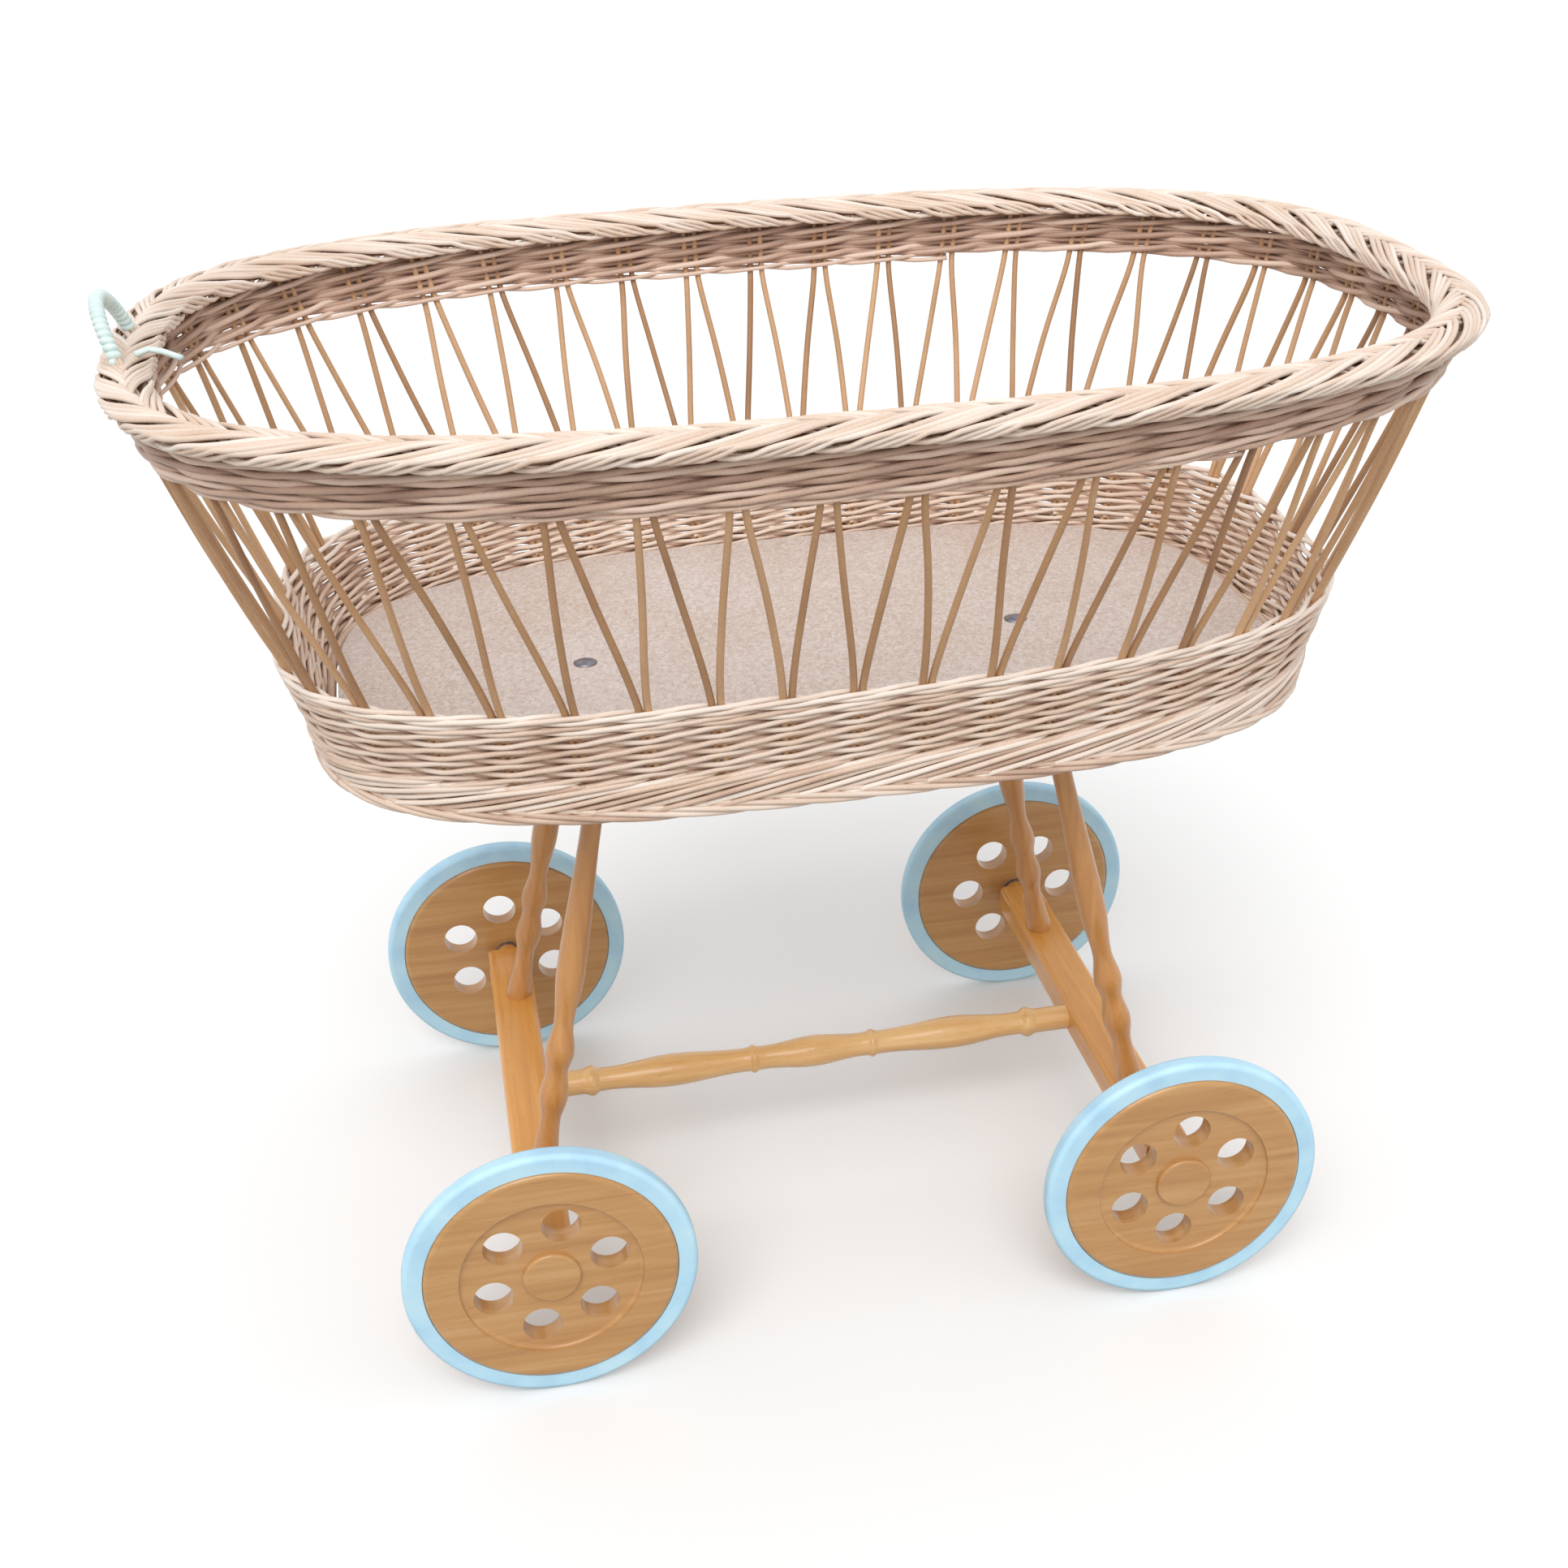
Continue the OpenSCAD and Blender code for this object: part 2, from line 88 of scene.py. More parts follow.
def wire(tree: bpy.types.NodeTree, node: bpy.types.Node, inputs: dict[Any, Any]) -> None:
    """Sets or links a node's inputs.

    Args:
        tree: The node tree.
        node: The node.
        inputs: Socket name or number to a value, or to the output socket that feeds it.
    """
    for name, value in inputs.items():
        if isinstance(value, bpy.types.NodeSocket):
            tree.links.new(value, node.inputs[name])
        else:
            node.inputs[name].default_value = value


def add_node(
    tree: bpy.types.NodeTree,
    kind: str,
    inputs: dict[Any, Any] | None = None,
    out: int | str = 0,
    stops: Sequence[tuple[float, str]] = (),
    **settings: Any,
) -> bpy.types.NodeSocket:
    """Adds a shader node with its settings and links.

    Args:
        tree: The node tree.
        kind: The node's type name, without its leading ShaderNode.
        inputs: Socket name or number to a value, or to the output socket that feeds it.
        out: The name or number of the output to give.
        stops: A colour ramp's places from 0 to 1, with their sRGB colours.
        settings: Properties of the node itself.

    Returns:
        The output socket.
    """
    node = tree.nodes.new("ShaderNode" + kind)
    for name, value in settings.items():
        setattr(node, name, value)
    if stops:
        elements = node.color_ramp.elements
        while len(elements) < len(stops):
            elements.new(0.5)
        for element, (place, code) in zip(elements, stops):
            element.position = place
            element.color = linear(code)
    wire(tree, node, inputs or {})
    return node.outputs[out]


def start_material(name: str) -> tuple[bpy.types.Material, bpy.types.NodeTree, Any]:
    """Starts a material.

    Args:
        name: The material's name.

    Returns:
        The material, its node tree and its Principled shader.
    """
    material = bpy.data.materials.new(name)
    material.use_nodes = True
    tree = material.node_tree
    return material, tree, tree.nodes["Principled BSDF"]


def mesh_object(name: str, mesh: bpy.types.Mesh, material: bpy.types.Material) -> bpy.types.Object:
    """Links a smooth-shaded mesh to the scene as an object at the origin.

    Args:
        name: The piece's name.
        mesh: Its mesh, in place.
        material: Its finish.

    Returns:
        The object.
    """
    mesh.name = name
    mesh.materials.clear()
    mesh.materials.append(material)
    mesh.shade_smooth()
    piece = bpy.data.objects.new(name, mesh)
    bpy.context.scene.collection.objects.link(piece)
    return piece


@dataclass
class Rod:
    """One willow rod or strip.

    Its tone runs from 0, dark, to 1, pale, and lower still for painted shade inside the weave. Its
    taper is its thickness at the end, as a share of that at the start.
    """

    path: Path
    radius: float
    closed: bool = False
    tone: float = 0.5
    taper: float = 1.0


def rods_piece(
    name: str, rods: Sequence[Rod], material: bpy.types.Material, sides: int = 8
) -> bpy.types.Object:
    """Makes one piece from many rods, each a bevelled curve turned into a mesh.

    Every corner carries its rod's tone, and its reach, the distance along the rod in metres. The
    willow finish reads both.

    Args:
        name: The piece's name.
        rods: The rods.
        material: The finish.
        sides: How many sides each rod's section has: an even number of at least 4.

    Returns:
        The piece.
    """
    curve = bpy.data.curves.new(name, "CURVE")
    curve.dimensions = "3D"
    curve.bevel_depth = 1.0
    curve.bevel_resolution = sides // 2 - 2
    curve.twist_mode = "MINIMUM"
    tones: list[float] = []
    reaches: list[float] = []
    for rod in rods:
        spline = curve.splines.new("POLY")
        spline.points.add(len(rod.path) - 1)
        spline.use_cyclic_u = rod.closed
        reach = 0.0
        for i, point in enumerate(rod.path):
            if i:
                reach += (point - rod.path[i - 1]).length
            along = i / max(1, len(rod.path) - 1)
            spline.points[i].co = (*point, 1.0)
            spline.points[i].radius = rod.radius * (1 + (rod.taper - 1) * along)
            tones += [rod.tone] * sides
            reaches += [reach] * sides
    shape = bpy.data.objects.new(name + "_curve", curve)
    bpy.context.scene.collection.objects.link(shape)
    graph = bpy.context.evaluated_depsgraph_get()
    mesh = bpy.data.meshes.new_from_object(shape.evaluated_get(graph), depsgraph=graph)
    bpy.data.objects.remove(shape)
    if len(mesh.vertices) != len(tones):
        raise ValueError(f"{name}: {len(mesh.vertices)} corners for {len(tones)} tones")
    for label, values in (("tone", tones), ("reach", reaches)):
        mesh.attributes.new(label, "FLOAT", "POINT").data.foreach_set("value", values)
    tubes = bmesh.new()
    tubes.from_mesh(mesh)
    bmesh.ops.holes_fill(tubes, edges=[e for e in tubes.edges if e.is_boundary], sides=0)
    tubes.to_mesh(mesh)
    tubes.free()
    return mesh_object(name, mesh, material)


# --- Finishes ----------------------------------------------------------------------------------


class GrainAlong(Enum):
    """The axis that a piece of timber's grain follows, as stretches of a noise across X, Y and Z."""

    X = (0.05, 1.0, 1.0)
    Y = (1.0, 0.05, 1.0)
    Z = (1.0, 1.0, 0.05)


@dataclass(frozen=True)
class LacqueredBeech:
    """Beech, planed or turned, under a satin clear lacquer.

    Growth bands about 9 mm wide run with the grain, and short brown ray flecks under 1 mm wide lie
    in them. The lacquer gives a soft, slightly warm shine.
    """

    name: str
    grain: GrainAlong
    pale: str = "CD9455"
    middle: str = "C4894A"
    deep: str = "BA7E41"
    band_size: float = 9 * MM
    fleck_size: float = 0.9 * MM
    fleck_colour: str = "8A5A30"
    fleck_cover: float = 0.26
    fleck_depth: float = 0.05 * MM
    roughness: float = 0.42

    def build(self) -> bpy.types.Material:
        """Builds the finish.

        Returns:
            The material.
        """
        material, tree, shader = start_material(self.name)
        place = add_node(tree, "TexCoord", out="Object")
        along = add_node(tree, "Mapping", {0: place, 3: self.grain.value})
        bands = add_node(tree, "TexNoise", {
            "Vector": along, "Scale": 1 / self.band_size, "Detail": 5.0,
            "Roughness": 0.55, "Distortion": 0.6,
        })
        flecks = add_node(
            tree, "TexNoise", {"Vector": along, "Scale": 1 / self.fleck_size, "Detail": 2.0}
        )
        tint = add_node(
            tree, "ValToRGB", {0: bands},
            stops=((0.3, self.deep), (0.5, self.middle), (0.68, self.pale)),
        )
        mask = add_node(tree, "MapRange", {0: flecks, 1: 0.60, 2: 0.74, 3: 0.0, 4: self.fleck_cover})
        colour = add_node(
            tree, "Mix", {0: mask, 6: tint, 7: linear(self.fleck_colour)}, 2, data_type="RGBA"
        )
        sheen = add_node(
            tree, "MapRange", {0: bands, 3: self.roughness - 0.05, 4: self.roughness + 0.08}
        )
        bump = {"Height": flecks, "Distance": self.fleck_depth, "Strength": 0.35}
        wire(tree, shader, {
            "Base Color": colour,
            "Roughness": sheen,
            "IOR": 1.5,
            "Coat Weight": 0.6,
            "Coat Roughness": 0.16,
            "Normal": add_node(tree, "Bump", bump),
        })
        return material


@dataclass(frozen=True)
class VarnishedWillow:
    """Peeled willow rods under clear varnish.

    Each rod has its own tone, carried by the mesh. Fine mottling covers it, and every few
    centimetres the colour drifts or a small leaf scar darkens it.
    """

    name: str
    pale: str
    middle: str
    deep: str
    # Painted shade: the colour that tones at or below 0 take, on the rods that only fill gaps in the
    # weave.
    shade: str = "86654F"
    scar: str = "7A5232"
    drift_size: float = 55 * MM
    scar_spacing: float = 60 * MM
    streak_size: float = 1.1 * MM
    streak_depth: float = 0.12 * MM
    streak_cover: float = 0.24

    def build(self) -> bpy.types.Material:
        """Builds the finish.

        Returns:
            The material.
        """
        material, tree, shader = start_material(self.name)
        tone = add_node(tree, "Attribute", out="Fac", attribute_name="tone")
        reach = add_node(tree, "Attribute", out="Fac", attribute_name="reach")
        place = add_node(tree, "TexCoord", out="Object")
        drift = add_node(
            tree, "TexNoise", {"Vector": place, "Scale": 1 / self.drift_size, "Detail": 3.0}
        )
        depth = add_node(tree, "Math", {0: tone, 1: 0.62}, operation="MULTIPLY")
        depth = add_node(tree, "Math", {0: drift, 1: 0.55, 2: depth}, operation="MULTIPLY_ADD")
        tint = add_node(
            tree, "ValToRGB", {0: depth},
            stops=((0.02, self.shade), (0.22, self.deep), (0.52, self.middle), (0.86, self.pale)),
        )
        lane = add_node(tree, "CombineXYZ", {0: reach, 1: tone})
        scars = add_node(
            tree, "TexVoronoi", {"Vector": lane, "Scale": 1 / self.scar_spacing}, "Distance",
            feature="F1",
        )
        mask = add_node(tree, "MapRange", {0: scars, 1: 0.0, 2: 0.045, 3: 0.45, 4: 0.0})
        colour = add_node(tree, "Mix", {0: mask, 6: tint, 7: linear(self.scar)}, 2, data_type="RGBA")
        streaks = add_node(
            tree, "TexNoise", {"Vector": place, "Scale": 1 / self.streak_size, "Detail": 2.0}
        )
        colour = add_node(
            tree, "Mix", {0: self.streak_cover, 6: colour, 7: streaks}, 2,
            data_type="RGBA", blend_type="OVERLAY",
        )
        bump = {"Height": streaks, "Distance": self.streak_depth, "Strength": 0.4}
        wire(tree, shader, {
            "Base Color": colour,
            "Roughness": 0.46,
            "IOR": 1.48,
            "Coat Weight": 0.12,
            "Coat Roughness": 0.3,
            "Normal": add_node(tree, "Bump", bump),
        })
        return material


@dataclass(frozen=True)
class ParticleBoard:
    """Raw pressed particle board: chips of 1 to 4 mm, some pale, some brown, in pinkish glue."""

    name: str = "pressed_particle_board"
    chip_size: float = 2.6 * MM
    dust_size: float = 0.9 * MM
    dust_depth: float = 0.15 * MM
    cloud_scale: float = 9.0

    def build(self) -> bpy.types.Material:
        """Builds the finish.

        Returns:
            The material.
        """
        material, tree, shader = start_material(self.name)
        place = add_node(tree, "TexCoord", out="Object")
        chips = add_node(tree, "TexVoronoi", {"Vector": place, "Scale": 1 / self.chip_size}, "Color")
        dust = add_node(
            tree, "TexNoise", {"Vector": place, "Scale": 1 / self.dust_size, "Detail": 3.0}
        )
        clouds = add_node(
            tree, "TexNoise", {"Vector": place, "Scale": self.cloud_scale, "Detail": 2.0}
        )
        colour = add_node(
            tree, "ValToRGB", {0: chips},
            stops=((0.1, "B5A093"), (0.35, "CBB8AC"), (0.6, "D6C8BF"), (0.9, "E6DDD9")),
        )
        for pattern, share, stops in (
            (dust, 0.5, ((0.36, "AC9384"), (0.62, "E2D6CE"))),
            (clouds, 0.22, ((0.3, "C6AC9C"), (0.7, "DCD4D3"))),
        ):
            tint = add_node(tree, "ValToRGB", {0: pattern}, stops=stops)
            colour = add_node(tree, "Mix", {0: share, 6: colour, 7: tint}, 2, data_type="RGBA")
        bump = {"Height": dust, "Distance": self.dust_depth, "Strength": 0.35}
        wire(tree, shader, {
            "Base Color": colour,
            "Roughness": 0.62,
            "IOR": 1.5,
            "Normal": add_node(tree, "Bump", bump),
        })
        return material


@dataclass(frozen=True)
class PaleRubber:
    """Moulded blue-white rubber, a little soiled, with a fine mould texture."""

    name: str = "moulded_pale_rubber"
    soil_scale: float = 38.0
    grit_size: float = 1.4 * MM
    grit_depth: float = 0.08 * MM
    glow_depth: float = 2 * MM

    def build(self) -> bpy.types.Material:
        """Builds the finish.

        Returns:
            The material.
        """
        material, tree, shader = start_material(self.name)
        place = add_node(tree, "TexCoord", out="Object")
        soil = add_node(tree, "TexNoise", {"Vector": place, "Scale": self.soil_scale, "Detail": 6.0})
        grit = add_node(
            tree, "TexNoise", {"Vector": place, "Scale": 1 / self.grit_size, "Detail": 2.0}
        )
        bump = {"Height": grit, "Distance": self.grit_depth, "Strength": 0.3}
        wire(tree, shader, {
            "Base Color": add_node(
                tree, "ValToRGB", {0: soil}, stops=((0.3, "B4DEF9"), (0.5, "BEE8FF"), (0.7, "C9EEFF"))
            ),
            "Roughness": 0.5,
            "IOR": 1.52,
            "Subsurface Weight": 0.08,
            "Subsurface Radius": (1.0, 0.9, 0.8),
            "Subsurface Scale": self.glow_depth,
            "Normal": add_node(tree, "Bump", bump),
        })
        return material


@dataclass(frozen=True)
class ZincSteel:
    """Zinc-plated steel, dulled, with a cloudy spangle about 5 mm across."""

    name: str = "zinc_plated_steel"
    spangle_size: float = 5 * MM

    def build(self) -> bpy.types.Material:
        """Builds the finish.

        Returns:
            The material.
        """
        material, tree, shader = start_material(self.name)
        place = add_node(tree, "TexCoord", out="Object")
        spangle = add_node(
            tree, "TexNoise", {"Vector": place, "Scale": 1 / self.spangle_size, "Detail": 4.0}
        )
        wire(tree, shader, {
            "Base Color": add_node(
                tree, "ValToRGB", {0: spangle}, stops=((0.3, "77747C"), (0.7, "A3A1A8"))
            ),
            "Roughness": add_node(tree, "MapRange", {0: spangle, 3: 0.32, 4: 0.5}),
            "Metallic": 0.9,
        })
        return material


@dataclass(frozen=True)
class SmoothPlastic:
    """Smooth moulded or drawn plastic, with faint handling marks in its shine."""

    name: str
    pale: str
    deep: str
    roughness: float = 0.4
    mark_size: float = 7 * MM

    def build(self) -> bpy.types.Material:
        """Builds the finish.

        Returns:
            The material.
        """
        material, tree, shader = start_material(self.name)
        place = add_node(tree, "TexCoord", out="Object")
        marks = add_node(
            tree, "TexNoise", {"Vector": place, "Scale": 1 / self.mark_size, "Detail": 4.0}
        )
        wire(tree, shader, {
            "Base Color": add_node(
                tree, "ValToRGB", {0: marks}, stops=((0.35, self.deep), (0.65, self.pale))
            ),
            "Roughness": add_node(
                tree, "MapRange", {0: marks, 3: self.roughness - 0.06, 4: self.roughness + 0.1}
            ),
            "IOR": 1.5,
        })
        return material


@dataclass(frozen=True)
class Backdrop:
    """Matt white studio floor."""

    name: str = "white_studio_floor"

    def build(self) -> bpy.types.Material:
        """Builds the finish.

        Returns:
            The material.
        """
        material, tree, shader = start_material(self.name)
        wire(tree, shader, {"Base Color": linear("F7F7F7"), "Roughness": 0.9})
        return material


# --- Basket shape ------------------------------------------------------------------------------


@dataclass(frozen=True)
class Oval:
    """A squared oval: |x/a|^n + |y/b|^n = 1."""

    a: float
    b: float
    n: float

    def point(self, angle: float) -> Vector:
        """Gives a point of the oval.

        Args:
            angle: The angle from the front end, leftwards, in radians.

        Returns:
            The point, at height 0.
        """
        cos, sin = math.cos(angle), math.sin(angle)
        r = (abs(cos / self.a) ** self.n + abs(sin / self.b) ** self.n) ** (-1 / self.n)
        return Vector((r * cos, r * sin, 0))

    def out_of(self, angle: float) -> Vector:
        """Gives the direction straight out of the oval.

        Args:
            angle: The angle from the front end, leftwards, in radians.

        Returns:
            The unit normal, at height 0.
        """
        spot = self.point(angle)
        return Vector(tuple(
            math.copysign(abs(place / half) ** (self.n - 1) / half, place)
            for place, half in ((spot.x, self.a), (spot.y, self.b))
        ) + (0.0,)).normalized()


@dataclass
class Pace:
    """An even walk round an oval, which gives the angle at each distance."""

    oval: Oval
    steps: int = 1440
    angles: list[float] = field(init=False)
    lengths: list[float] = field(init=False)

    def __post_init__(self) -> None:
        """Fills the table of distance against angle."""
        self.angles = [2 * math.pi * i / self.steps for i in range(self.steps + 1)]
        points = [self.oval.point(a) for a in self.angles]
        self.lengths = [0.0]
        for before, after in zip(points, points[1:]):
            self.lengths.append(self.lengths[-1] + (after - before).length)

    def angle(self, distance: float) -> float:
        """Gives the angle at a distance.

        Args:
            distance: The distance round the oval, leftwards from its front end.

        Returns:
            The angle in radians.
        """
        distance %= self.lengths[-1]
        i = min(bisect_right(self.lengths, distance) - 1, self.steps - 1)
        share = (distance - self.lengths[i]) / (self.lengths[i + 1] - self.lengths[i])
        return self.angles[i] + share * (self.angles[i + 1] - self.angles[i])


@dataclass
class Wall:
    """The basket's wall: its oval at each height, and the even pace of its stakes round it."""

    pairs: int = 45
    phase: float = -2 * MM
    crowding: float = 7 * MM
    foot_squareness: float = 3.2
    upper_squareness: float = 2.7
    rim_squareness: float = 2.95
    weave_t: float = 12 * MM
    rim_w: float = 34 * MM
    board_inset: float = 7 * MM
    upper_inset: tuple[float, float] = (5 * MM, 6 * MM)
    filler_steps: int = 5
    levels: list[tuple[float, Oval, Pace]] = field(init=False)

    def __post_init__(self) -> None:
        """Reads the wall's outline at four heights from the CAD rings."""
        half = self.weave_t / 2
        foot_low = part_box("foot_border")[0]
        low_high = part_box("lower_weave")[1]
        up_low, up_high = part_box("upper_weave")
        rim_low, rim_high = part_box("top_border")
        low = Oval(low_high.x - half, low_high.y - half, self.foot_squareness)
        # The lower wall is straight, so its foot follows from its top and from the board's edge.
        board_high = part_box("base_board")[1]
        inset = self.board_inset
        foot = Oval(board_high.x + inset, board_high.y + inset, self.foot_squareness)
        rim = Oval(rim_high.x - self.rim_w / 2, rim_high.y - self.rim_w / 2, self.rim_squareness)
        upper = Oval(rim.a - self.upper_inset[0], rim.b - self.upper_inset[1], self.upper_squareness)
        self.foot_z = foot_low.z
        self.low_top = low_high.z
        self.up_z = up_low.z
        self.up_top = up_high.z
        self.rim_z = (rim_low.z + rim_high.z) / 2
        self.rim_t = rim_high.z - rim_low.z
        low_pace, up_pace = Pace(low), Pace(upper)
        self.levels = [
            (self.foot_z, foot, low_pace),
            (self.low_top, low, low_pace),
            (self.up_z, upper, up_pace),
            (self.rim_z, rim, up_pace),
        ]
        self.pair_width = low_pace.lengths[-1] / self.pairs

    def spot(self, level: int, pitch: float, out: float) -> Vector:
        """Gives a point on or beside one of the wall's levels.

        Args:
            level: The level's number.
            pitch: The place round the wall, in pairs of stakes.
            out: The distance outside the level's oval, negative inside.

        Returns:
            The point.
        """
        height, oval, pace = self.levels[level]
        crowd = self.crowding * math.sin(2 * math.pi * pitch / self.pairs)
        angle = pace.angle(pitch * pace.lengths[-1] / self.pairs + self.phase - crowd)
        place = oval.point(angle) + oval.out_of(angle) * out
        place.z = height
        return place

    def at(self, pitch: float, z: float, out: float = 0.0) -> Vector:
        """Gives a point on or beside the wall.

        Args:
            pitch: The place round the wall, in pairs of stakes.
            z: The height.
            out: The distance outside the wall's middle, negative inside.

        Returns:
            The point.
        """
        heights = [level[0] for level in self.levels]
        i = max(0, min(len(heights) - 2, bisect_right(heights, z) - 1))
        share = max(-0.2, min(1.0, (z - heights[i]) / (heights[i + 1] - heights[i])))
        place = self.spot(i, pitch, out).lerp(self.spot(i + 1, pitch, out), share)
        place.z = z
        return place

    def filler(self, z: float, out: float, radius: float, tone: float = GAP_SHADE_TONE) -> Rod:
        """Builds a rod that runs right round inside the weave, where the gaps between rods show it,
        dark as painted shade.

        Args:
            z: The height.
            out: The distance outside the wall's middle.
            radius: The rod's radius.
            tone: The rod's tone, dark by default, for painted shade.

        Returns:
            The rod.
        """
        count = self.pairs * self.filler_steps
        path = [self.at(i / self.filler_steps, z, out) for i in range(count)]
        return Rod(path, radius, closed=True, tone=tone)


def soft_step(value: float) -> float:
    """Eases a value along a soft S.

    Args:
        value: The value.

    Returns:
        0 below 0, 1 above 1 and the S between.
    """
    value = max(0.0, min(1.0, value))
    return value * value * (3 - 2 * value)


def through(knots: Sequence[tuple[float, ...]], count: int) -> list[tuple[float, ...]]:
    """Runs a smooth line through a few knots of any number of values.

    Args:
        knots: The knots.
        count: How many points to give for each gap between two knots.

    Returns:
        The points, the knots among them.
    """
    ends = [knots[0], *knots, knots[-1]]
    points = []
    for i in range(1, len(ends) - 2):
        a, b, c, d = ends[i - 1:i + 3]
        for j in range(count):
            t = j / count
            points.append(tuple(
                0.5 * (
                    2 * q + (r - p) * t + (2 * p - 5 * q + 4 * r - s) * t * t
                    + (3 * q - p - 3 * r + s) * t ** 3
                )
                for p, q, r, s in zip(a, b, c, d)
            ))
    points.append(tuple(knots[-1]))
    return points


# --- Wicker ------------------------------------------------------------------------------------


@dataclass
class Stakes:
    """Pairs of round rods. Each top pair parts downwards, one rod to the foot pair on either side."""

    wall: Wall
    finish: bpy.types.Material
    radius: float = 2.6 * MM
    foot_gap: float = 5.4 * MM
    head_gap: float = 7 * MM
    bow: float = 2.5 * MM
    sway: float = 1.5 * MM
    foot_depth: float = 16 * MM
    groups: tuple[tuple[str, int, int], ...] = (
        ("front_stakes", -5, 5),
        ("left_stakes", 6, 16),
        ("rear_stakes", 17, 28),
        ("right_stakes", 29, 39),
    )

    def rod(self, pair: int, side: int, chance: random.Random) -> Rod:
        """Builds one stake.

        Args:
            pair: The number of its top pair.
            side: -1 for the rod before the pair's middle, 1 for the one after it.
            chance: The source of its small irregularities.

        Returns:
            The rod.
        """
        wall = self.wall
        foot = pair + side / 2 - side * self.foot_gap / 2 / wall.pair_width
        head = pair + side * self.head_gap / 2 / wall.pair_width
        across = head - foot
        lean = chance.uniform(-1, 1) * self.sway / wall.pair_width
        bow = chance.uniform(-0.2, 1.0) * self.bow
        span = wall.up_z - wall.low_top
        knots = (
            (foot, wall.foot_z + self.foot_depth, 0.0),
            (foot, wall.low_top - 10 * MM, 0.0),
            (foot + across * 0.02, wall.low_top + 5 * MM, 0.0),
            (foot + across * 0.17 + lean * 0.5, wall.low_top + span * 0.22, bow * 0.6),
            (foot + across * 0.55 + lean, wall.low_top + span * 0.56, bow),
            (foot + across * 0.93, wall.low_top + span * 0.9, bow * 0.4),
            (head, wall.up_z + 8 * MM, 0.0),
            (head, wall.up_top + 2 * MM, -1 * MM),
        )
        path = [wall.at(p, z, out) for p, z, out in through(knots, 4)]
        thickness = self.radius * chance.uniform(0.94, 1.04)
        return Rod(path, thickness, tone=chance.uniform(0.1, 0.9), taper=chance.uniform(0.76, 0.84))

    def build(self) -> list[bpy.types.Object]:
        """Builds one piece for each side of the basket, each in place of its CAD node.

        Returns:
            The four pieces.
        """
        chance = random.Random(SEED)
        pieces = []
        for node, first, last in self.groups:
            rods = [self.rod(i, side, chance) for i in range(first, last + 1) for side in (-1, 1)]
            piece = rods_piece(node + "_rods", rods, self.finish, sides=10)
            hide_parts(node)
            pieces.append(piece)
        return pieces


class Wale(Enum):
    """How a round's rods pass the pairs of stakes: how many pairs each goes before, and its heights.

    The heights are taken at every half pair from the first pair that the rod goes before. Their
    number is twice the pairs after which the rod repeats itself, which is also the rods in a round.
    """

    FOUR_ROD = (2, (-1.0, 0.0, 1.0, 1.0, 1.0, 0.0, -1.0, -1.0))
    THREE_ROD = (2, (-1.0, 0.0, 1.0, 1.0, 0.0, -1.0))
    PAIRING = (1, (0.0, 1.0, 0.0, -1.0))

    @property
    def before(self) -> int:
        """Counts the pairs that each rod goes before.

        Returns:
            The number of pairs.
        """
        return self.value[0]

    @property
    def cycle(self) -> int:
        """Counts the pairs after which each rod repeats itself.

        Returns:
            The number of pairs.
        """
        return len(self.value[1]) // 2

    def rise(self, place: float) -> float:
        """Gives a rod's height, from -1 to 1.

        Args:
            place: The place along the rod in pairs, where 1 is the first pair that it goes before.

        Returns:
            The height.
        """
        heights = self.value[1]
        step = (place - 1) * 2 % len(heights)
        i = int(step)
        share = soft_step(step - i) * 0.5 + (step - i) * 0.5
        return heights[i] + (heights[(i + 1) % len(heights)] - heights[i]) * share

    def reach(self, place: float) -> float:
        """Gives how far outside the stakes a rod runs.

        Args:
            place: The place along the rod in pairs, where 1 is the first pair that it goes before.

        Returns:
            1 before the stakes, -1 behind them and between those two on its way.
        """
        middle = (self.before + 1) / 2
        away = abs((place - middle + self.cycle / 2) % self.cycle - self.cycle / 2)
        return math.sin(math.pi / 2 * max(-1.0, min(1.0, (self.before / 2 - away) / 0.5)))


@dataclass(frozen=True)
class Round:
    """One round of wale: its middle height, its rods' radius, how far they rise and their tones.

    Its stretch, in pairs, is where it starts and ends. With none it runs right round.
    """

    style: Wale
    level: float
    radius: float
    rise: float
    stretch: tuple[float, float] | None = None
    tone: tuple[float, float] = (0.3, 0.95)


